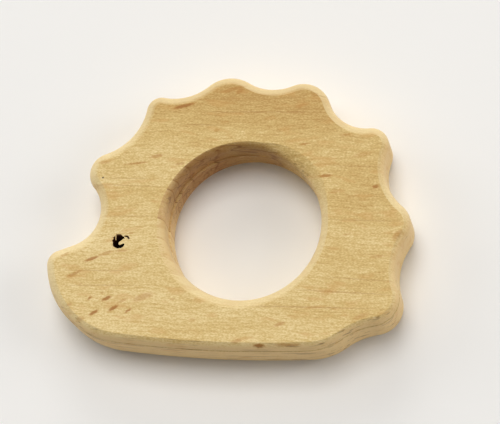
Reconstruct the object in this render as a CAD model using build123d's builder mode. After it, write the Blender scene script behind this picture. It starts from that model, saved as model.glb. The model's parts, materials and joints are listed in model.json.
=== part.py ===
"""Hedgehog figure cut from one piece of beech board, with a round grip hole and a drilled eye.

Sizes are in millimetres. The figure lies on its back face, with +Z up through the board. The
snout points to -X, the tail to +X, the spines to +Y and the belly to -Y. The outline is drawn
around the middle of the grip hole, and the origin is the middle of the finished figure's
underside.
"""

from build123d import *

import os
from dataclasses import dataclass
from math import copysign, sqrt

# The board. The faces are sanded down after the edges are rounded over, which leaves a crisp
# line where face and edge meet
board_thickness = 12.0
edge_round = 2.9
face_sanding = 0.25

# The grip hole
grip_hole_diameter = 32.0

# The eye, a plain drilled hole: its place is a share of snout_reach
eye_diameter = 2.8
eye_reach_share = 0.634
eye_angle = 191.5

# How far the outline reaches from the middle of the grip hole
snout_reach = 40.7
belly_depth = 25.8
spine_reach = 34.3

# Spines from the forehead round to the tail: where each one points, how far out its tip
# comes as a share of spine_reach, and how blunt its tip is as a share of spine_crown
spine_angles = (161.0, 129.5, 102.1, 68.2, 35.7, 2.0, -27.8)
spine_tip_shares = (1.03, 1.0, 0.943, 0.957, 1.0, 0.997, 1.065)
spine_crown_shares = (0.557, 0.067, 1.417, 0.987, 0.267, 0.727, 0.967)
spine_crown = 3.0

# The hollows between the spines, and the last one that runs into the belly: each radius is
# a share of the distance between the middles of the two rounds that it joins
hollow_shares = (0.725, 0.754, 0.653, 0.506, 0.649, 0.809, 1.137)

# The snout: the front of its nose faces nose_angle, and its straight bridge bridge_angle
nose_crown = 0.2
nose_angle = 187.6
bridge_angle = 112.2
bridge_length = 3.6

# The chin, the rump and the slightly crowned belly between them
chin_radius = 17.8
rump_radius = 12.0
rump_place = 14.4
belly_radius = 232.0


@dataclass
class Round:
    """A convex round of the outline."""

    center: Vector
    radius: float


def reach_out(length, angle):
    """The point at a length from the middle of the grip hole, turned from +X by an angle."""
    return Vector(length, 0, 0).rotate(Axis.Z, angle)


def joining_center(first, second, radius):
    """Middle of the arc that runs smoothly from one round into the next, clockwise.

    A hollow has a positive radius and its middle lies outside, to the left of the way from
    first to second. A crown that holds both rounds has a negative one, and lies inside.
    """
    way = second.center - first.center
    span = way.length
    to_first = first.radius + radius
    to_second = second.radius + radius
    along = (to_first**2 - to_second**2 + span**2) / (2 * span)
    aside = copysign(sqrt(to_first**2 - along**2), radius)
    ahead = way / span
    left = ahead.rotate(Axis.Z, 90)
    return first.center + ahead * along + left * aside


def touching_point(part_round, center, radius):
    """Where the joining arc meets a round."""
    share = part_round.radius / (part_round.radius + radius)
    return part_round.center + (center - part_round.center) * share


# A round is never sharper than the rounded edge that runs over it, so each one is that much
# wider than its crown
nose_radius = edge_round + nose_crown
spines = []
for angle, tip_share, crown_share in zip(spine_angles, spine_tip_shares, spine_crown_shares):
    tip_radius = edge_round + spine_crown * crown_share
    spines.append(Round(reach_out(spine_reach * tip_share - tip_radius, angle), tip_radius))

chin = Round(Vector(chin_radius - snout_reach, chin_radius - belly_depth, 0), chin_radius)
rump = Round(Vector(rump_place, rump_radius - belly_depth, 0), rump_radius)

# The nose lies inside the chin's round and touches it at the front of the snout
snout_front = chin.center + reach_out(chin.radius, nose_angle)
nose_center = snout_front - reach_out(nose_radius, nose_angle)
bridge_start = nose_center + reach_out(nose_radius, bridge_angle)
bridge_end = bridge_start + reach_out(bridge_length, bridge_angle).rotate(Axis.Z, -90)

# The brow is the hollow that leaves the bridge smoothly at its end and touches the first spine
first_spine = spines[0]
away = first_spine.center - bridge_end
facing = reach_out(bridge_length, bridge_angle).normalized()
brow_radius = (away.dot(away) - first_spine.radius**2) / (2 * (first_spine.radius + away.dot(facing)))
brow_center = bridge_end + facing * brow_radius
brow_end = touching_point(first_spine, brow_center, brow_radius)

# The rounds in their order, and the radius of the arc that follows each one
rounds = [*spines, rump, chin]
joining_radii = []
for first, second, share in zip(rounds, rounds[1:], hollow_shares):
    joining_radii.append((second.center - first.center).length * share)
joining_radii.append(-belly_radius)

# The outline, clockwise from the front of the snout, and the grip hole inside it
with BuildSketch() as silhouette:
    with BuildLine():
        RadiusArc(snout_front, bridge_start, nose_radius)
        Line(bridge_start, bridge_end)
        RadiusArc(bridge_end, brow_end, -brow_radius)
        start = brow_end
        for first, second, radius in zip(rounds, rounds[1:], joining_radii):
            center = joining_center(first, second, radius)
            leave = touching_point(first, center, radius)
            arrive = touching_point(second, center, radius)
            RadiusArc(start, leave, first.radius)
            RadiusArc(leave, arrive, -radius)
            start = arrive
        RadiusArc(start, snout_front, chin.radius)
    make_face()
    Circle(grip_hole_diameter / 2, mode=Mode.SUBTRACT)

# The outline's own middle comes over the origin
middle = silhouette.sketch.bounding_box().center()
board_plane = Plane(origin=(-middle.X, -middle.Y, 0))

with BuildPart() as beech_body:
    with BuildSketch(board_plane.offset(-face_sanding)):
        add(silhouette.sketch)
    extrude(amount=board_thickness + 2 * face_sanding)
    # Both faces are rounded over, outside and around the grip hole, and then sanded down
    fillet(beech_body.faces().filter_by(Axis.Z).edges(), radius=edge_round)
    split(bisect_by=board_plane, keep=Keep.TOP)
    split(bisect_by=board_plane.offset(board_thickness), keep=Keep.BOTTOM)
    # The eye is drilled right through afterwards, so its rims stay sharp
    with Locations(board_plane.offset(board_thickness)):
        with Locations(reach_out(snout_reach * eye_reach_share, eye_angle)):
            Hole(eye_diameter / 2)

beech_body.part.label = "beech_body"

os.makedirs("parts", exist_ok=True)
export_step(beech_body.part, "parts/beech_body.step")

size = beech_body.part.bounding_box().size
print(f"Figure: {size.X:.2f} x {size.Y:.2f} x {size.Z:.2f} mm, {beech_body.part.volume:.0f} mm3")
print(f"Grip hole's axis: x {-middle.X:.3f}, y {-middle.Y:.3f}")
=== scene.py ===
# %% [markdown]
# A beech hedgehog for small hands
#
# The real figure is one piece of beech board. A workshop saws the outline, bores the grip hole,
# runs a rounding cutter round both faces, drills the eye and sands the whole by hand. This lesson
# follows the same order in Blender: the outline, the wall and its rounded edges, the small faults
# of the cuts, the eye with its torn fibres, and then the wood, which does most of the work.
#
# The first cell loads the measured model. Its sizes are fixed, and everything below is worked out
# from them, in metres.

# %% Load the measured model
import json
import math

import bpy
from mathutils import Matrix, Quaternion, Vector

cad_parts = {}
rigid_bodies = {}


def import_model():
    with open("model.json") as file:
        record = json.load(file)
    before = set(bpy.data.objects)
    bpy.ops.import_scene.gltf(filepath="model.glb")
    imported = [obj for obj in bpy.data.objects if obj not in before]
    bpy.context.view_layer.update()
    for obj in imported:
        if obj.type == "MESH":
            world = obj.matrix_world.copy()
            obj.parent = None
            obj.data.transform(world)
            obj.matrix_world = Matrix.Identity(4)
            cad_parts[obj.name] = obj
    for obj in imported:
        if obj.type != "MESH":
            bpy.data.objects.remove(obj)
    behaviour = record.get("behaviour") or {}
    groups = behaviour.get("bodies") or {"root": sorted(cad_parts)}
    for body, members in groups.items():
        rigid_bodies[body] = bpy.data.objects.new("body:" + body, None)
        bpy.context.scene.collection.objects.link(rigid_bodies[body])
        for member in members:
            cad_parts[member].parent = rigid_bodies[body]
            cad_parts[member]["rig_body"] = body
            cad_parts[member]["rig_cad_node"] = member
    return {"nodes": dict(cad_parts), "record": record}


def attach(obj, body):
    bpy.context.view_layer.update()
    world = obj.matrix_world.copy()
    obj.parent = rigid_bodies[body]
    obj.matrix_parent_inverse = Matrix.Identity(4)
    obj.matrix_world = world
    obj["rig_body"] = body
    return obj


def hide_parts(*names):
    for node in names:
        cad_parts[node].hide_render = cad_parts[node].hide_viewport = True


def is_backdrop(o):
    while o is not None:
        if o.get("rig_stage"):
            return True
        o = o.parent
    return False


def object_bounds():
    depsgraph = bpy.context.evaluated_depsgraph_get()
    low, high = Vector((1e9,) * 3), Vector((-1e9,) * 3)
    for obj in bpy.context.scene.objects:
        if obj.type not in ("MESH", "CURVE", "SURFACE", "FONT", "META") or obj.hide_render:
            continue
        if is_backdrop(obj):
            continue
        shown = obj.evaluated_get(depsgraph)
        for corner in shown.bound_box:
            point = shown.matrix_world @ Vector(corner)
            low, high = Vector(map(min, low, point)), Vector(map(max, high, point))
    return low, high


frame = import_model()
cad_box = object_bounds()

mm = 0.001
sizes = [(high - low) / mm for low, high in zip(*cad_box)]
print("The board is", " x ".join(f"{size:.2f}" for size in sizes), "mm")

# %% [markdown]
# Few sizes drive the modelling. The record of the model says how wide the grip hole is and how
# long its straight wall is. What is left of the board's thickness on each side of that wall is
# rounded over. The faces were sanded down after that, so the round-over stops short of a quarter
# circle and meets them at a crisp line.

# %% Read the driving sizes
bore = next(mount for mount in frame["record"]["mounts"] if mount["name"] == "grip_hole")
bore_center = Vector(bore["pos_m"])
bore_radius = bore["dims"]["r_mm"] * mm
wall_height = bore["dims"]["length_mm"] * mm
board_thickness = cad_box[1].z - cad_box[0].z
edge_rise = (board_thickness - wall_height) / 2
wall_top = board_thickness - edge_rise
# A whole quarter circle has round_steps steps, of which steps_to_face lie below the face
round_steps = 15
steps_to_face = 11
edge_round = edge_rise / math.sin(steps_to_face / round_steps * math.pi / 2)
print(f"Round-over radius {edge_round / mm:.2f} mm, straight wall up to {wall_top / mm:.2f} mm")

# %% [markdown]
# The camera comes before the shapes, so that every later look is taken from the photograph's
# side. The photograph was taken from above, about twenty degrees off square, from the side of
# belly and tail, with the camera a little turned. A long lens far away gives the same weak
# perspective. The numbers were found by laying the grip hole's two rims over the picture.

# %% Set up the camera
def direction(azimuth, elevation):
    """A unit vector, from degrees round from +X and degrees up from the table."""
    around = math.radians(azimuth)
    up = math.radians(elevation)
    return Vector((math.cos(up) * math.cos(around), math.cos(up) * math.sin(around), math.sin(up)))


aim = Vector((4.73, -0.55, 12.0)) * mm
camera_distance = 426.5 * mm
camera_azimuth = -55.8
camera_elevation = 69.44
camera_roll = -30.57
sensor_width = 36.0
lens_length = 151.2

towards_camera = direction(camera_azimuth, camera_elevation)
turn = towards_camera.to_track_quat("Z", "Y") @ Quaternion((0, 0, 1), math.radians(camera_roll))
bpy.ops.object.camera_add(location=aim + towards_camera * camera_distance, rotation=turn.to_euler())
camera = bpy.context.object
camera.data.sensor_width = sensor_width
camera.data.lens = lens_length
bpy.context.scene.camera = camera
print("Camera at", [round(part / mm) for part in camera.location], "mm")

# %% [markdown]
# The figure lies on its back on a pale table. The table is a large plain sheet, marked as part of
# the stage so that it never counts as part of the figure.

# %% Lay the table
def plain_material(name, color, roughness):
    """A material of one color, for what is not part of the figure."""
    material = bpy.data.materials.new(name)
    material.use_nodes = True
    shader = material.node_tree.nodes["Principled BSDF"]
    shader.inputs["Base Color"].default_value = (*color, 1)
    shader.inputs["Roughness"].default_value = roughness
    return material


table_size = 3.0
bpy.ops.mesh.primitive_plane_add(size=table_size)
table = bpy.context.object
table.name = "table"
table.data.materials.append(plain_material("table_white", (0.92, 0.915, 0.905), 0.7))
table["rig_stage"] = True
print("The table is", table_size, "m wide")

# %% [markdown]
# The shadow in the photograph is dark where the figure touches the ground and gone a board's
# thickness away, so most light comes from one wide lamp high above the spines. Weak low windows
# behind the spines, at the snout and at the tail draw the creamy rims. A pale sky fills the rest.

# %% Light it softly
lamp_distance = 2.5
window_width = 1.2
window_color = (1.0, 0.99, 0.97)
windows = (
    ("back_window", 98, 26, 14.5),
    ("left_window", 160, 26, 11.0),
    ("right_window", 10, 30, 15.0),
)


def soft_lamp(name, azimuth, elevation, power, width, color):
    """A square lamp that looks at the figure, placed by its direction from it."""
    away = direction(azimuth, elevation)
    bpy.ops.object.light_add(type="AREA", location=away * lamp_distance,
                             rotation=away.to_track_quat("Z", "Y").to_euler())
    lamp = bpy.context.object
    lamp.name = name
    lamp.data.size = width
    lamp.data.energy = power
    lamp.data.color = color
    print(f"{name}: {power} W, {width} m wide")


for name, azimuth, elevation, power in windows:
    soft_lamp(name, azimuth, elevation, power, window_width, window_color)
soft_lamp("overhead", azimuth=100, elevation=72, power=30.0, width=1.4, color=(1.0, 0.98, 0.95))

sky = bpy.data.worlds.new("sky")
sky.use_nodes = True
background = sky.node_tree.nodes["Background"]
background.inputs["Color"].default_value = (1.0, 0.985, 0.96, 1)
background.inputs["Strength"].default_value = 0.23
bpy.context.scene.world = sky
bpy.context.scene.view_settings.view_transform = "Standard"

# %% [markdown]
# The outline is not drawn again, because the measured model already holds it. A copy of that
# model is cut down to the two closed lines where the straight wall meets the upper round-over:
# one round the figure, one round the grip hole. Its corners lie on true arcs, so as a Bezier
# curve the line can be as fine as needed, if its handles follow those arcs.

# %% Trace the outline
# Places that lie closer together than this count as one
hair = 0.001 * mm


def only(piece):
    """Select one piece and nothing else, so that operators act on it alone."""
    bpy.ops.object.select_all(action="DESELECT")
    piece.select_set(True)
    bpy.context.view_layer.objects.active = piece


def choose_vertices(piece, wanted):
    """Select the vertices whose place passes the test, and stay in edit mode."""
    bpy.ops.object.mode_set(mode="EDIT")
    bpy.ops.mesh.select_mode(type="VERT")
    bpy.ops.mesh.select_all(action="DESELECT")
    bpy.ops.object.mode_set(mode="OBJECT")
    for vertex in piece.data.vertices:
        vertex.select = wanted(vertex.co)
    bpy.ops.object.mode_set(mode="EDIT")


def at_level(place, level):
    """Tell whether a place lies at this height above the table, give or take a hair."""
    return abs(place.z - level) < hair


only(frame["nodes"]["beech_body"])
bpy.ops.object.duplicate()
body = bpy.context.object
body.name = "hedgehog_body"
body.parent = None
# The copy is a piece of its own, so the notes that mark a measured node come off it
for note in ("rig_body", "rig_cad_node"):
    del body[note]
choose_vertices(body, lambda place: not at_level(place, wall_top))
bpy.ops.mesh.delete(type="VERT")
bpy.ops.mesh.select_all(action="SELECT")
bpy.ops.mesh.remove_doubles(threshold=hair)
bpy.ops.object.mode_set(mode="OBJECT")
bpy.ops.object.convert(target="CURVE")
bpy.ops.object.mode_set(mode="EDIT")
bpy.ops.curve.select_all(action="SELECT")
bpy.ops.curve.spline_type_set(type="BEZIER")
bpy.ops.curve.handle_type_set(type="FREE_ALIGN")
bpy.ops.object.mode_set(mode="OBJECT")
print("Corners on the lines:", [len(spline.bezier_points) for spline in body.data.splines])

# %% [markdown]
# The handles come from the corners themselves. Along one arc all chords are equally long, and the
# line turns by the arc's own angle at each corner. Half of that angle turns a chord into the
# tangent at its end. A chord with no equal beside it takes what its neighbours leave over.

# %% Lay the handles along the arcs
# Chords whose lengths differ by less than this share are equal, and a smaller turn is none
equal_share = 0.003
least_turn = 1e-6


def arc_angles(chords):
    """How far the true line turns along each chord of a closed line, in radians."""
    count = len(chords)
    bearings = [math.atan2(chord.y, chord.x) for chord in chords]
    turns = [math.remainder(bearings[k] - bearings[k - 1], math.tau) for k in range(count)]
    angles = []
    for k, chord in enumerate(chords):
        after = (k + 1) % count
        slack = equal_share * chord.length
        if abs(chords[k - 1].length - chord.length) < slack:
            angles.append(turns[k])
        elif abs(chords[after].length - chord.length) < slack:
            angles.append(turns[after])
        else:
            angles.append(2 * turns[k] - angles[k - 1])
    return angles


def handle_length(chord, angle):
    """The handle that makes a Bezier segment follow an arc over this chord."""
    if abs(angle) < least_turn:
        return chord.length / 3
    return chord.length * (4 / 3) * math.tan(angle / 4) / (2 * math.sin(angle / 2))


for spline in body.data.splines:
    points = spline.bezier_points
    count = len(points)
    chords = [(points[(k + 1) % count].co - points[k].co).to_2d() for k in range(count)]
    angles = arc_angles(chords)
    for k, point in enumerate(points):
        tangent = Vector((*chords[k].normalized(), 0))
        tangent.rotate(Quaternion((0, 0, 1), -angles[k] / 2))
        point.handle_left = point.co - tangent * handle_length(chords[k - 1], angles[k - 1])
        point.handle_right = point.co + tangent * handle_length(chords[k], angles[k])
lengths = [round(spline.calc_length() / mm, 2) for spline in body.data.splines]
round_length = round(math.tau * bore_radius / mm, 2)
print("The lines are", lengths, "mm long, and round the grip hole it should be", round_length)

# %% [markdown]
# A flat curve can be given thickness and rounded edges at once, as is done with lettering. Its
# extrusion is half of the straight wall, its bevel is the cutter's quarter circle, and an offset
# of the same size keeps the wall where the line is. Turned into a mesh, its caps and walls are
# merged into one closed skin. What stands above the real faces is then pressed flat, which is the
# sanding that leaves the crisp line.

# %% Give the board its thickness and round-overs
steps_between_corners = 6

shape = body.data
shape.dimensions = "2D"
shape.fill_mode = "BOTH"
shape.resolution_u = steps_between_corners
shape.extrude = wall_height / 2
shape.bevel_depth = edge_round
shape.bevel_resolution = round_steps - 1
shape.offset = -edge_round
body.location.z = board_thickness / 2
bpy.ops.object.convert(target="MESH")
bpy.ops.object.transform_apply(location=True, rotation=False, scale=False)
bpy.ops.object.mode_set(mode="EDIT")
bpy.ops.mesh.select_all(action="SELECT")
bpy.ops.mesh.remove_doubles(threshold=hair)
bpy.ops.mesh.normals_make_consistent(inside=False)
bpy.ops.object.mode_set(mode="OBJECT")
for face_height, up in ((0.0, -1), (board_thickness, 1)):
    choose_vertices(body, lambda place: (place.z - face_height) * up > -hair)
    bpy.ops.transform.resize(value=(1, 1, 0), center_override=(0, 0, face_height))
    bpy.ops.object.mode_set(mode="OBJECT")
print(len(body.data.polygons), "faces in the rounded board")

# %% [markdown]
# No workshop centers every cut. On the real figure the front round-over is wider on the spines'
# and the snout's side than on the belly's, so the crisp line lies a little off: moved by about
# half a millimetre against the wall. Each row of the front round-over is moved by its share, the
# outer edge and the grip hole each by their own amount.

# %% Set the front round-over off center
outer_shift = Vector((0.55, -0.40, 0)) * mm
bore_shift = Vector((0.05, -0.50, 0)) * mm


def by_the_bore(place):
    """Tell the grip hole's skin from the outer one."""
    return (place - bore_center).to_2d().length < bore_radius + 2 * edge_round


def row_height(step):
    """How high a row of the round-over lies above the top of the wall."""
    return min(edge_round * math.sin(step / round_steps * math.pi / 2), edge_rise)


for step in range(1, steps_to_face + 1):
    share = (step / steps_to_face) ** 2
    level = wall_top + row_height(step)
    for shift, inner in ((outer_shift, False), (bore_shift, True)):
        choose_vertices(body, lambda place: at_level(place, level) and by_the_bore(place) == inner)
        bpy.ops.transform.translate(value=shift * share)
        bpy.ops.object.mode_set(mode="OBJECT")
for edge_name, shift in (("outer edge", outer_shift), ("grip hole", bore_shift)):
    print(f"The crisp line at the {edge_name} is {shift.length / mm:.2f} mm off center")

# %% [markdown]
# At the grip hole's upper right the sander also drew the line outwards, so there the rim is wider
# and softer. Each point is pushed straight away from the hole's middle: most at one bearing, less
# to both sides of it, and the more the higher it lies above the wall.

# %% Widen the rim on one side
soft_rim_width = 1.2 * mm
soft_rim_bearing = math.radians(46)
soft_rim_reach = math.radians(36)
soft_rim_power = 3


def side_share(place, middle, reach):
    """One on the grip hole's side that faces this bearing, fading to nothing at its reach."""
    spoke = (place - bore_center).to_2d()
    bearing = math.remainder(math.atan2(spoke.y, spoke.x) - middle, math.tau)
    if abs(bearing) > reach:
        return 0.0
    return math.cos(bearing / reach * math.pi / 2)


def outwards(place):
    """The direction straight away from the grip hole's middle."""
    return (place - bore_center).to_2d().normalized().to_3d()


for vertex in body.data.vertices:
    rise = (vertex.co.z - wall_top) / edge_rise
    if by_the_bore(vertex.co) and rise > 0:
        push = soft_rim_width * side_share(vertex.co, soft_rim_bearing, soft_rim_reach)
        vertex.co += outwards(vertex.co) * (push * rise ** soft_rim_power)
print("The rim at the grip hole's upper right is", soft_rim_width / mm, "mm wider")

# %% [markdown]
# The flat face no longer fits its moved border, so both faces are taken off, with the rows that
# were pressed into them, and filled again between their crisp lines. The fill tool is coarse at
# this small size, so the board is a thousand times larger meanwhile.

# %% Fill the flat faces again
def resize_body(factor):
    """Make the whole piece larger or smaller about the origin."""
    only(body)
    body.scale = (factor, factor, factor)
    bpy.ops.object.transform_apply(location=False, rotation=False, scale=True)


def fill_flat_faces():
    """Take both flat faces off and fill them again between the lines that border them."""
    for height in (0.0, board_thickness):
        choose_vertices(body, lambda place: at_level(place, height))
        bpy.ops.mesh.delete(type="ONLY_FACE")
        bpy.ops.mesh.select_all(action="SELECT")
        bpy.ops.mesh.delete_loose()
        bpy.ops.object.mode_set(mode="OBJECT")
        resize_body(1 / mm)
        choose_vertices(body, lambda place: at_level(place * mm, height))
        bpy.ops.mesh.fill(use_beauty=True)
        bpy.ops.mesh.select_all(action="SELECT")
        bpy.ops.mesh.normals_make_consistent(inside=False)
        bpy.ops.object.mode_set(mode="OBJECT")
        resize_body(mm)


fill_flat_faces()
print(len(body.data.polygons), "faces with the flat ones filled again")

# %% [markdown]
# The rounding cutter ran a hair deeper than the saw had left the wall along the belly, which draws
# a thin dark line there. In the grip hole a second, wider ledge lies halfway down on the snout's
# side, where the cuts from the two faces met a little off. A ledge needs two rows of points close
# together. So the wall is divided into rows, and two rows are drawn together for each ledge.

# %% Divide the wall into rows
wall_rows = 8
ledge_height = 0.05 * mm
bore_ledge_level = 6.5 * mm

# Only the edges that run up the whole wall are chosen, and so cut into equal parts
bpy.ops.object.mode_set(mode="EDIT")
bpy.ops.mesh.select_mode(type="EDGE")
bpy.ops.mesh.select_all(action="DESELECT")
bpy.ops.object.mode_set(mode="OBJECT")
for edge in body.data.edges:
    ends = [body.data.vertices[index].co for index in edge.vertices]
    edge.select = abs(abs(ends[0].z - ends[1].z) - wall_height) < hair
bpy.ops.object.mode_set(mode="EDIT")
bpy.ops.mesh.subdivide(number_cuts=wall_rows - 1)
bpy.ops.object.mode_set(mode="OBJECT")

wall_bottom = board_thickness - wall_top
# Rows are counted upwards, and row wall_rows is the top of the wall
row_levels = {
    4: bore_ledge_level,
    5: bore_ledge_level + ledge_height,
    7: wall_top - ledge_height,
}
for row, level in row_levels.items():
    old_level = wall_bottom + row / wall_rows * wall_height
    choose_vertices(body, lambda place: at_level(place, old_level))
    bpy.ops.transform.translate(value=(0, 0, level - old_level))
    bpy.ops.object.mode_set(mode="OBJECT")
print(wall_rows, "rows of wall, of which", len(row_levels), "were moved")

# %% [markdown]
# The skin above each ledge is then sunk: along the belly into the wood, and in the grip hole away
# from its middle, most at one bearing. Both fade out towards the face, so the crisp line stays.

# %% Sink the ledges
outer_ledge_depth = 0.12 * mm
outer_ledge_start = -8.0 * mm
outer_ledge_full = -16.0 * mm
bore_ledge_depth = 0.5 * mm
bore_ledge_bearing = math.radians(145)
bore_ledge_reach = math.radians(69)
# The grip hole's ledge fades out over this share of the skin above it, next to the face
bore_ledge_fade = 0.5

# A normal turns as soon as its vertex moves, so all of them are noted down first
normals = [vertex.normal.copy() for vertex in body.data.vertices]
for vertex, normal in zip(body.data.vertices, normals):
    above_wall = vertex.co.z - wall_top
    if above_wall > -hair and not by_the_bore(vertex.co):
        belly_share = (outer_ledge_start - vertex.co.y) / (outer_ledge_start - outer_ledge_full)
        push = outer_ledge_depth * max(0.0, min(1.0, belly_share)) * (1 - above_wall / edge_rise)
        vertex.co -= normal * push

for vertex in body.data.vertices:
    if by_the_bore(vertex.co) and vertex.co.z > bore_ledge_level + ledge_height - hair:
        to_face = (board_thickness - vertex.co.z) / (board_thickness - bore_ledge_level)
        push = bore_ledge_depth * side_share(vertex.co, bore_ledge_bearing, bore_ledge_reach)
        vertex.co += outwards(vertex.co) * push * min(1.0, to_face / bore_ledge_fade)
print("Ledges", outer_ledge_depth / mm, "and", bore_ledge_depth / mm, "mm deep")

# %% [markdown]
# The eye is a drilled hole whose rim tore out as the drill went in. The drill is a cylinder whose
# top rim is drawn out to the torn outline, given as distances from its middle all round. A ring
# a little lower brings it back to the drill's own size.

# %% Make the drill
eye_center = Vector((-22.09, -7.74, 0)) * mm
eye_radius = 1.4 * mm
tear_depth = 0.45 * mm
overrun = 0.5 * mm
drill_corners = 96
torn_rim = (
    (-158, 1.22), (-130, 1.57), (-112, 1.46), (-95, 1.58), (-78, 1.50), (-64, 1.60), (-38, 1.58),
    (-20, 1.42), (5, 1.45), (30, 1.40), (42, 1.47), (55, 1.38), (67, 1.46), (80, 1.62), (92, 1.56),
    (104, 1.66), (117, 1.62), (126, 1.44), (138, 1.33), (146, 1.66), (153, 1.60), (160, 1.22),
    (168, 1.24), (176, 1.38), (190, 1.18),
)


def torn_radius(degrees):
    """The torn rim's distance from the eye's middle in this direction."""
    first, last = torn_rim[0], torn_rim[-1]
    marks = [(last[0] - 360, last[1]), *torn_rim, (first[0] + 360, first[1])]
    degrees = (degrees - first[0]) % 360 + first[0]
    for (before, near), (after, far) in zip(marks, marks[1:]):
        if before <= degrees <= after:
            return (near + (far - near) * (degrees - before) / (after - before)) * mm
    return first[1] * mm


bpy.ops.object.select_all(action="DESELECT")
bpy.ops.mesh.primitive_cylinder_add(
    vertices=drill_corners, radius=eye_radius, depth=board_thickness + 2 * overrun,
    location=eye_center + Vector((0, 0, board_thickness / 2)),
)
drill = bpy.context.object
bpy.ops.object.transform_apply(location=True, rotation=False, scale=False)
bpy.ops.object.mode_set(mode="EDIT")
for level in (board_thickness, board_thickness - tear_depth):
    bpy.ops.mesh.select_all(action="SELECT")
    bpy.ops.mesh.bisect(plane_co=(0, 0, level), plane_no=(0, 0, 1))
bpy.ops.object.mode_set(mode="OBJECT")
for vertex in drill.data.vertices:
    if vertex.co.z > board_thickness - hair:
        spoke = vertex.co - eye_center
        degrees = math.degrees(math.atan2(spoke.y, spoke.x))
        reach = torn_radius(degrees) / math.hypot(spoke.x, spoke.y)
        vertex.co.x = eye_center.x + spoke.x * reach
        vertex.co.y = eye_center.y + spoke.y * reach
print("The torn rim reaches up to", max(far for _, far in torn_rim), "mm from the eye's middle")

# %% [markdown]
# Some fibres were left standing in the eye: a broad tongue from the tail's side, a thin sliver
# from above and a small chip. Each is a flat shape that is extruded downwards and taken out of
# the drill, so that the drill leaves it on the board. The outlines are in millimetres round the
# eye, and go out past its rim where the fibre hangs on to the board.

# %% Spare the fibres
def flat_piece(outline, top, thickness, taper=1.0):
    """A closed piece, in millimetres: its outline round the eye, its top up from the face."""
    bpy.ops.object.select_all(action="DESELECT")
    bpy.ops.mesh.primitive_circle_add(vertices=len(outline), radius=eye_radius, fill_type="NGON")
    piece = bpy.context.object
    for vertex, (x, y) in zip(piece.data.vertices, outline):
        vertex.co = eye_center + Vector((x * mm, y * mm, board_thickness + top * mm))
    bpy.ops.object.mode_set(mode="EDIT")
    bpy.ops.mesh.select_all(action="SELECT")
    bpy.ops.mesh.extrude_region_move(TRANSFORM_OT_translate={"value": (0, 0, -thickness * mm)})
    bpy.ops.transform.resize(value=(taper, taper, 1))
    bpy.ops.mesh.select_all(action="SELECT")
    bpy.ops.mesh.normals_make_consistent(inside=False)
    bpy.ops.object.mode_set(mode="OBJECT")
    return piece


def cut(piece, cutter):
    """Take the cutter's shape out of the piece and throw the cutter away."""
    only(piece)
    boolean = piece.modifiers.new("cut", "BOOLEAN")
    boolean.operation = "DIFFERENCE"
    boolean.solver = "EXACT"
    boolean.object = cutter
    bpy.ops.object.modifier_apply(modifier=boolean.name)
    bpy.data.objects.remove(cutter)


tongue = ((1.90, 0.75), (1.07, 0.62), (0.62, 0.27), (0.20, -0.08), (0.03, -0.38), (0.11, -0.62),
          (0.33, -0.74), (0.60, -0.63), (0.85, -0.47), (1.06, -0.42), (1.90, -0.50))
sliver = ((-0.82, 1.90), (-0.66, 1.90), (-0.60, 0.85), (-0.55, 0.35), (-0.61, 0.20), (-0.69, 0.40),
          (-0.75, 0.95))
chip = ((-1.90, 0.90), (-1.30, 0.76), (-1.05, 0.60), (-1.28, 0.46), (-1.90, 0.36))

cut(drill, flat_piece(tongue, top=-0.08, thickness=0.40, taper=0.8))
cut(drill, flat_piece(sliver, top=-0.10, thickness=0.25))
cut(drill, flat_piece(chip, top=-0.12, thickness=0.25))
print(len(drill.data.polygons), "faces in the drill")

# %% [markdown]
# Beside the eye a short hooked groove was torn out. It is a shape of the same kind, but is cut
# directly. Each cut leaves long slivers in the flat faces, so points that fell together are
# merged, and the faces are filled again.

# %% Drill the eye and tear the groove
groove = ((1.10, 1.24), (1.62, 1.36), (2.00, 1.18), (2.34, 0.70), (2.10, 0.44), (1.78, 0.80),
          (1.56, 0.98), (1.10, 0.90))

cut(body, drill)
cut(body, flat_piece(groove, top=0.05, thickness=0.80, taper=0.8))
choose_vertices(body, lambda place: (place - eye_center).to_2d().length < 2 * eye_radius)
bpy.ops.mesh.remove_doubles(threshold=2 * hair)
bpy.ops.object.mode_set(mode="OBJECT")
fill_flat_faces()
print(len(body.data.polygons), "faces with the eye drilled")

# %% [markdown]
# The wood is the main thing to see. Beech is pale, dense and fine: the eye finds thin growth
# lines along the board, a fine streaky mottling, brown slanted ray flecks, a pinker and greyer
# end grain, and long dark pores on the belly edge. All of it is worked out from the place in the
# board, so the figure is wood right through, and every side fits the next one. Four small helpers
# keep the node tree readable: a node, a sum, a soft step and a noise.

# %% Make helpers for material nodes
beech = bpy.data.materials.new("sanded_beech")
beech.use_nodes = True
tree = beech.node_tree
shader = tree.nodes["Principled BSDF"]


def node(kind, settings=None, **inputs):
    """Add a shader node. An input takes a number, a color or another node's output."""
    made = tree.nodes.new("ShaderNode" + kind)
    for name, value in (settings or {}).items():
        setattr(made, name, value)
    for name, value in inputs.items():
        socket = made.inputs[int(name[1:])] if name[0] == "_" else made.inputs[name]
        if isinstance(value, bpy.types.NodeSocket):
            tree.links.new(value, socket)
        else:
            socket.default_value = value
    return made


def calc(operation, *values, clamp=False):
    """One step of arithmetic on the values, with its output."""
    inputs = {f"_{k}": value for k, value in enumerate(values)}
    return node("Math", {"operation": operation, "use_clamp": clamp}, **inputs).outputs[0]


def fade(value, start, end, low=0.0, high=1.0):
    """A smooth step from low to high while the value goes from start to end."""
    made = node("MapRange", {"interpolation_type": "SMOOTHSTEP"}, Value=value)
    for name, number in (("From Min", start), ("From Max", end), ("To Min", low), ("To Max", high)):
        made.inputs[name].default_value = number
    return made.outputs["Result"]


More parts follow.
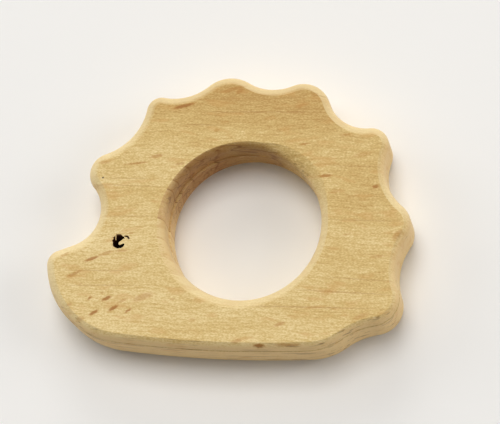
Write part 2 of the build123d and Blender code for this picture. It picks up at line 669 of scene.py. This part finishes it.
def cloud(place, scale, detail=2.0, rough=0.5):
    """Even noise around 0.5, squeezed by the three scale numbers, in marks per millimetre."""
    squeezed = node("Mapping", {"vector_type": "POINT"}, Vector=place, Scale=scale).outputs[0]
    made = node("TexNoise", {"noise_dimensions": "3D"}, Vector=squeezed,
                Scale=1.0, Detail=detail, Roughness=rough)
    return made.outputs[0]


print("The wood starts with", len(tree.nodes), "nodes")

# %% [markdown]
# Everything starts from the place in millimetres. A slow wave bends it a little, because no tree
# grows straight. The same helper later frays the ends of small marks.

# %% Find the place in the board
def shaken(place, scale, reach, detail):
    """The place, moved to and fro by noise, by up to half of reach each way."""
    noise = node("TexNoise", {"noise_dimensions": "3D"}, Vector=place, Scale=scale, Detail=detail)
    half_back = tuple(-part / 2 for part in reach)
    shift = node("VectorMath", {"operation": "MULTIPLY_ADD"}, _0=noise.outputs["Color"],
                 _1=reach, _2=half_back).outputs[0]
    return node("VectorMath", {"operation": "ADD"}, _0=place, _1=shift).outputs[0]


where = node("TexCoord")
place_mm = node("VectorMath", {"operation": "SCALE"}, _0=where.outputs["Object"],
                Scale=1 / mm).outputs[0]
bent = shaken(place_mm, scale=0.045, reach=(0.0, 5.0, 0.0), detail=1.0)
spot = node("SeparateXYZ", Vector=place_mm).outputs
facing = node("SeparateXYZ", Vector=where.outputs["Normal"]).outputs
print(len(tree.nodes), "nodes with the place and the direction")

# %% [markdown]
# The direction of a surface says how much end grain or how many pores it shows, whether it is a
# saw-cut wall, which is made paler as painted fill light, and whether it gets a painted creamy
# highlight, as on the rims towards the spines. The distance from the grip hole's middle and from
# the eye's tells their skins from the outer one, because some of this holds only there.

# %% Tell the sides apart
def away_from(center, start, end):
    """One at this axis through the board, fading to nothing from start to end, in metres."""
    flat = node("VectorMath", {"operation": "MULTIPLY"}, _0=place_mm, _1=(1.0, 1.0, 0.0)).outputs[0]
    middle = (center.x / mm, center.y / mm, 0.0)
    distance = node("VectorMath", {"operation": "DISTANCE"}, _0=flat, _1=middle).outputs["Value"]
    return fade(distance, start / mm, end / mm, 1.0, 0.0)


in_bore = away_from(bore_center, bore_radius + edge_round, bore_radius + edge_round + 1.0 * mm)
in_eye = away_from(eye_center, eye_radius + 1.1 * mm, eye_radius + 1.3 * mm)
outside = calc("SUBTRACT", 1.0, in_bore)
upright = calc("ABSOLUTE", facing[2])

# Pores open on the belly's side, and end grain towards the tail and on the grip hole's ledge
pore_side = fade(facing[1], -0.3, -0.75)
on_ledge = calc("MULTIPLY", fade(facing[2], 0.8, 0.95), fade(spot[2], 9.0, 8.0))
end_grain = calc("MAXIMUM", fade(facing[0], 0.18, 0.5), calc("MULTIPLY", in_bore, on_ledge))

# Painted fill light: the walls, apart from the grip hole's upper one, are made paler and warmer
painted_wall_light = calc("MAXIMUM", outside, fade(facing[1], -0.9, -0.3))
painted_wall_light = calc("MULTIPLY", painted_wall_light, fade(upright, 0.30, 0.92, 1.0, 0.0))

# Painted highlight: creamy sheen on the rims towards spines and snout, and the hole's lower rim
spine_facing = calc("MULTIPLY_ADD", facing[0], -0.5, facing[1])
lower_rim = fade(calc("MULTIPLY_ADD", facing[0], -0.6, facing[1]), -0.15, 0.35)
painted_highlight_mask = calc("MULTIPLY", outside, fade(spine_facing, -0.7, 0.25))
painted_highlight_mask = calc("MAXIMUM", painted_highlight_mask, calc("MULTIPLY", in_bore, lower_rim))
painted_highlight_mask = calc("MULTIPLY", painted_highlight_mask, fade(upright, 0.86, 0.98, 1.0, 0.0))

# Painted shade: the inside of the eye and the grip hole's upper wall are made darker and browner
painted_eye_shade = calc("MULTIPLY", in_eye, fade(spot[2], 11.6, 11.9, 1.0, 0.0))
painted_bore_shade = calc("MULTIPLY", in_bore, fade(spine_facing, -0.43, -0.9))
print(len(tree.nodes), "nodes with the sides told apart")

# %% [markdown]
# The growth layers run along the board and lean a little. Where the grip hole and the ends cut
# across them they show as bands of two to four millimetres. A thin dark line ends each layer, and
# above it the next one starts dark and grows paler. The lines are listed upwards from the belly,
# in millimetres, with the tone below and above each. On the faces only faint lines remain.

# %% Grow the rings
# In the grip hole the darker layers towards the spines are partly the wood's tone, partly painted
# shade
ring_edges = (
    (-16.6, 0.80, 0.60), (-13.8, 0.80, 0.60), (-10.4, 0.85, 0.70), (-6.5, 0.85, 0.70),
    (-2.3, 0.90, 0.35), (1.4, 0.50, 0.42), (4.0, 0.55, 0.42), (6.0, 0.65, 0.28), (8.9, 0.35, 0.15),
    (13.0, 0.40, 0.20),
)
ring_span = 64.0
ring_lean = 0.22
ring_start = 2.8
ring_wobble = 0.6
ring_line_reach = 0.2

wobble = node("TexNoise", {"noise_dimensions": "3D"}, Vector=place_mm, Scale=0.25, Detail=2.0)
across = calc("MULTIPLY_ADD", spot[2], -ring_lean, spot[1])
wavy_start = calc("MULTIPLY_ADD", wobble.outputs[0], ring_wobble, ring_start - ring_wobble / 2)
across = calc("ADD", across, wavy_start)
rings = node("ValToRGB", Fac=calc("MULTIPLY_ADD", across, 1 / ring_span, 0.5))
# One stop is left of the two that a new ramp has, as the tone below the first line
stops = rings.color_ramp.elements
stops.remove(stops[-1])
stops[0].color = (0.7, 0.7, 0.7, 1)
for edge_place, below, above in ring_edges:
    # The line is darkest under a layer that starts dark, and faint under any other
    line_tone = 0.0 if above < 0.5 else above - 0.3
    line_stops = ((-ring_line_reach, below), (0.0, line_tone), (ring_line_reach, above))
    for shift, grey in line_stops:
        stop = stops.new((edge_place + shift) / ring_span + 0.5)
        stop.color = (grey, grey, grey, 1)
ring_tone = node("SeparateXYZ", Vector=rings.outputs[0]).outputs[0]
print(len(ring_edges), "growth layers")

# %% [markdown]
# The mottling is worked out from noise, drawn out along the grain: specks at the limit of what
# can be seen, short grains half a millimetre long, thin dark threads that run on for a
# centimetre, broad soft clouds, and warm blotches of a few millimetres.

# %% Mottle the wood
specks = cloud(place_mm, (2.2, 4.6, 2.6), detail=1.0)
grains = cloud(place_mm, (0.45, 2.3, 1.1), rough=0.6)
threads = fade(cloud(bent, (0.06, 2.4, 0.25), detail=1.0), 0.50, 0.66)
clouds = cloud(bent, (0.05, 0.22, 0.08), detail=1.0)
blotches = fade(cloud(bent, (0.20, 0.62, 0.3), detail=1.5), 0.54, 0.70)
print(len(tree.nodes), "nodes with the mottling")

# %% [markdown]
# Dark pores show where the surface faces the belly, and as long streaks on the grip hole's upper
# wall: a thin line is drawn wherever a broad noise passes its own middle.

# %% Open the pores
pores = cloud(bent, (0.10, 0.8, 1.7), rough=0.6)
pore_line = calc("MULTIPLY", fade(pores, 0.56, 0.68), pore_side)
streaks = calc("ABSOLUTE", calc("SUBTRACT", cloud(bent, (0.07, 0.5, 0.42), detail=1.0), 0.5))
streak_line = calc("MULTIPLY", fade(streaks, 0.008, 0.03, 1.0, 0.0), painted_bore_shade)
pore_line = calc("MAXIMUM", pore_line, streak_line)
print(len(tree.nodes), "nodes with the pores")

# %% [markdown]
# The ray flecks are where they are on the real figure: many small ones slant over the snout, a
# few lie along the back, and long pale growth lines run between them. Each mark is a soft
# ellipse, given by its place, length and width in millimetres, its slant in degrees and its
# strength. A pin knot above the eye is a mark of the same kind.

# %% List the flecks and lines
flecks = (
    (-27.3, -11.7, 3.9, 0.8, 21, 0.94), (-24.4, -10.4, 3.9, 0.9, 22, 0.56),
    (-21.2, -9.7, 3.5, 0.7, 6, 0.56), (-33.2, -11, 2.6, 0.8, 33, 0.50),
    (-30.6, -15, 4.1, 0.9, 28, 0.69), (-29.1, -17.1, 1.2, 0.5, 30, 0.50),
    (-26.8, -20, 1.6, 0.6, 35, 0.88), (-23.2, -19.9, 2.4, 1.0, 31, 1.00),
    (-21.6, -21.9, 3.0, 0.9, 35, 1.00), (-20, -20.3, 2.6, 0.8, 25, 0.50),
    (-25.6, -23, 2.5, 0.9, 34, 1.00), (-18.5, -22.3, 2.3, 0.7, 33, 0.88),
    (-30.9, -21.6, 1.2, 0.7, 30, 0.62), (-28.3, -24.4, 2.6, 1.2, 20, 0.50),
    (-15.7, -19.3, 5.4, 1.7, 21, 0.55), (-24.4, -18.8, 0.9, 0.5, 21, 0.44),
    (-20.1, 9.2, 5.8, 0.5, 8, 0.69), (-16, 10.9, 3.5, 0.9, 11, 0.65),
    (-27.1, 9.2, 3.2, 0.9, 2, 0.50), (-11.4, 22, 5.8, 1.0, 17, 1.00),
    (-1.2, 26, 6.0, 1.1, 17, 0.56), (-3.9, 16.9, 1.5, 0.8, 25, 0.44),
    (14.7, 14.4, 2.5, 0.7, 8, 0.62), (13.6, 22.8, 4.1, 0.9, 25, 0.44),
    (19.6, 7.7, 3.2, 0.8, 6, 0.85), (30, 5.7, 1.8, 1.0, 10, 0.94), (26.7, 12.4, 5.2, 1.2, 16, 0.38),
    (23.1, 16.6, 3.0, 0.7, 7, 0.50), (22.1, 4.4, 4.3, 0.9, 12, 0.44),
    (31.4, -8.9, 3.7, 0.7, 10, 0.50), (29, -21.4, 4.3, 1.2, 23, 0.50),
    (21.7, -16.9, 3.2, 1.4, 21, 0.31), (35.1, -4.3, 3.5, 1.4, 55, 0.62),
    (12.8, -23.7, 3.0, 1.0, 21, 0.62), (24.9, -4.5, 2.4, 0.5, 15, 0.38),
    (4.4, -27.6, 2.7, 0.9, 14, 0.62), (14.8, -27.8, 6.5, 0.7, 3, 0.62),
    (9, -28.2, 2.8, 0.9, 4, 1.00), (-10.9, 9.4, 2.6, 0.8, 12, 0.60),
    (-19.6, -5.9, 1.2, 0.6, 8, 0.60), (-9.6, -19.5, 1.6, 0.6, 12, 0.50),
    (-5.0, -23.6, 1.8, 1, 12, 0.35), (0.2, 25.6, 2.4, 1.1, 35, 0.60),
    (16.0, 25.1, 1.6, 1, 40, 0.40), (7.1, 19.8, 2.8, 1.2, 12, 0.35),
    (13.4, 23.7, 2.2, 1.1, 25, 0.35), (-2.3, 18.7, 2.2, 0.9, 18, 0.30),
)
lines = (
    (-22.6, 4.3, 17, 0.27, 0.2, 0.49), (4.8, 21.1, 27, 0.35, 1.4, 0.84),
    (25.7, 9.9, 12, 0.30, 1.4, 0.63), (28, -1.5, 18, 0.32, 0.6, 0.63),
    (28.6, -13.8, 16, 0.32, -1.3, 0.63), (25, -16.6, 23, 0.32, -1.1, 0.77),
    (17.8, -20, 32, 0.35, 1.1, 0.70), (-25.3, -14.1, 18, 0.30, 1.5, 0.56),
    (-24.4, -17.2, 19, 0.30, 2.3, 0.63), (-7, 18, 11, 0.32, 0.2, 0.70),
    (17.4, 25, 4.5, 0.32, 1.3, 0.70), (-21.7, 5.9, 11, 0.30, 1.8, 0.49),
    (-20.6, -2.3, 13, 0.30, 2, 0.49),
)
pin_knots = ((-26.9, 5.8, 0.6, 0.5, 0, 1.0),)
print(len(flecks), "flecks,", len(lines), "growth lines and", len(pin_knots), "pin knot")

# %% [markdown]
# A Mapping node moves, turns and squeezes the place, so that each mark becomes a ball of radius
# one, and the distance from its middle says how strongly it shows. The place is shaken a little
# before that, which frays the ends. In the lower half of the board it is also turned over, so
# the back face shows the same marks turned half round.

# %% Lay the marks on both faces
mark_depth = 3.2
mark_core = 0.45
mark_end = 1.15
half_board = board_thickness / mm / 2

frayed = shaken(place_mm, scale=1.6, reach=(0.8, 0.4, 0.0), detail=2.0)
from_middle = node("VectorMath", {"operation": "SUBTRACT"}, _0=frayed,
                   _1=(0.0, 0.0, half_board)).outputs[0]
half_sign = calc("SIGN", node("SeparateXYZ", Vector=from_middle).outputs[2])
both_faces = node("VectorMath", {"operation": "SCALE"}, _0=from_middle, Scale=half_sign).outputs[0]


def lay_marks(marks):
    """The strength of the strongest mark at each place."""
    strongest = 0.0
    for x, y, length, width, slant, strength in marks:
        local = node("Mapping", {"vector_type": "TEXTURE"}, Vector=both_faces,
                     Location=(x, y, half_board), Rotation=(0, 0, math.radians(slant)),
                     Scale=(length / 2, width / 2, mark_depth)).outputs[0]
        distance = node("VectorMath", {"operation": "LENGTH"}, _0=local).outputs["Value"]
        strongest = calc("MAXIMUM", strongest, fade(distance, mark_core, mark_end, strength, 0.0))
    return strongest


fleck = lay_marks(flecks)
line = lay_marks(lines)
pin_knot = lay_marks(pin_knots)
print(len(tree.nodes), "nodes with the marks")

# %% [markdown]
# Now the parts are put together. One tone, from dark and warm to pale and creamy, collects the
# mottling and the growth layers. A noise is taken from half of its weight below nothing to half
# above, so it darkens the wood as often as it lightens it. The board is also a little darker
# towards the spines and paler towards the snout, as in the photograph.

# %% Collect the tone
noise_weights = ((specks, 1.2), (grains, 0.8), (clouds, 0.5), (ring_tone, 0.10))
spine_side = fade(spot[1], 13.0, 25.0)
# The walls' tone is lifted here as painted fill light
tone_changes = (
    (threads, -0.15), (spine_side, -0.36), (spot[0], -0.0023), (spot[1], -0.002), (painted_wall_light, 0.45),
)
layer_contrast = 0.8
base_tone = 0.62

tone = 0.0
for layer, weight in noise_weights:
    tone = calc("ADD", tone, calc("MULTIPLY_ADD", layer, weight, -weight / 2))
for layer, change in tone_changes:
    tone = calc("MULTIPLY_ADD", layer, change, tone)
# Where the grip hole cuts across the layers, each one shows its own tone, the darker ones partly
# painted shade
bore_end = calc("MULTIPLY", end_grain, in_bore)
layer_tone = calc("MULTIPLY_ADD", ring_tone, layer_contrast, -layer_contrast / 2)
tone = calc("MULTIPLY_ADD", bore_end, layer_tone, tone)
tone = calc("ADD", tone, base_tone, clamp=True)
print(len(tree.nodes), "nodes with the tone")

# %% [markdown]
# The tone picks a color between three of them. They are given as picked on a screen, while a
# shader reckons in linear light, so a helper turns one into the other.

# %% Turn the tone into color
def screen_color(red, green, blue):
    """A color as picked on a screen, 0 to 255, as the linear color that a shader needs."""
    linear = []
    for part in (red, green, blue):
        share = part / 255
        linear.append(share / 12.92 if share <= 0.04045 else ((share + 0.055) / 1.055) ** 2.4)
    return (*linear, 1.0)


ramp = node("ValToRGB", Fac=tone)
ramp.color_ramp.elements[0].color = screen_color(191, 150, 83)
ramp.color_ramp.elements[1].color = screen_color(241, 218, 162)
middle_tone = ramp.color_ramp.elements.new(0.5)
middle_tone.color = screen_color(215, 184, 116)
print("The middle tone is", [round(part, 3) for part in middle_tone.color[:3]], "in linear light")

# %% [markdown]
# The rest lies over that color as thin stains do, one after another. Each has a name, the value
# that says where it lies, its strength and its tint. A fleck has a warm edge and a darker heart,
# so it is laid twice. Four of them are painted light, not stains: fill light on the walls, a
# highlight on the rims, and shade on the grip hole's upper wall and inside the eye.

# %% Lay the stains
pink = calc("MULTIPLY", bore_end, calc("SUBTRACT", 1.0, ring_tone))
pink = calc("MULTIPLY", pink, fade(grains, 0.3, 0.7, 0.5, 1.1))
crease = calc("MULTIPLY", bore_end, fade(ring_tone, 0.02, 0.26, 1.0, 0.0))
painted_wall_light_tint = calc("MULTIPLY", painted_wall_light, fade(in_bore, 0.0, 1.0, 0.45, 0.2))
fleck_heart = calc("MULTIPLY", fleck, fleck)
stains = (
    ("blotches", blotches, 0.40, (208, 160, 90)),
    ("pink_end_grain", pink, 0.80, (206, 158, 114)),
    ("layer_crease", crease, 0.55, (124, 82, 40)),
    # Painted fill light: a pale warm tint on the walls
    ("painted_wall_light_tint", painted_wall_light_tint, 1.00, (238, 190, 122)),
    # Painted highlight: the creamy sheen on the rims
    ("painted_rim_highlight", painted_highlight_mask, 0.55, (243, 224, 176)),
    ("growth_line", line, 0.55, (172, 122, 62)),
    ("fleck", fleck, 0.45, (198, 130, 30)),
    ("fleck_heart", fleck_heart, 0.80, (162, 107, 46)),
    # Painted shade: the grip hole's upper wall made darker and browner
    ("painted_wall_shade", painted_bore_shade, 0.65, (144, 96, 42)),
    ("pores", pore_line, 0.55, (112, 60, 24)),
    ("pin_knot", pin_knot, 1.00, (52, 32, 14)),
    # Painted shade: the inside of the eye and its torn groove made dark brown
    ("eye", painted_eye_shade, 0.97, (96, 54, 30)),
)


def stain(color, label, tint, amount):
    """Lay a tint over a color, as strongly as the amount says."""
    mixed = node("Mix", {"data_type": "RGBA", "label": label}, Factor=amount)
    # This node has sockets of every kind, and its color ones are found by number
    tree.links.new(color, mixed.inputs[6])
    mixed.inputs[7].default_value = tint
    return mixed.outputs[2]


color = ramp.outputs["Color"]
for label, amount, strength, tint in stains:
    color = stain(color, label, screen_color(*tint), calc("MULTIPLY", amount, strength))
tree.links.new(color, shader.inputs["Base Color"])
shader.inputs["Roughness"].default_value = 0.55
shader.inputs["Specular IOR Level"].default_value = 0.3
body.data.materials.clear()
body.data.materials.append(beech)
print(len(stains), "stains, and", len(tree.nodes), "nodes in all")

# %% [markdown]
# Shading is smooth, but breaks where the skin turns by more than a few degrees, which keeps the
# crisp line and the eye's sharp rim. The piece then stands in for the plain measured one, and
# rides on its body. Nothing on the figure moves, so there is only that one body. In the end the
# box of what is seen is printed beside the measured one.

# %% Finish
crisp_angle = math.radians(13)

only(body)
bpy.ops.object.shade_smooth_by_angle(angle=crisp_angle)
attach(body, "root")
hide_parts("beech_body")

seen_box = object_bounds()
for name, box in (("CAD box", cad_box), ("Seen box", seen_box)):
    print(name, [[round(part / mm, 3) for part in corner] for corner in box])
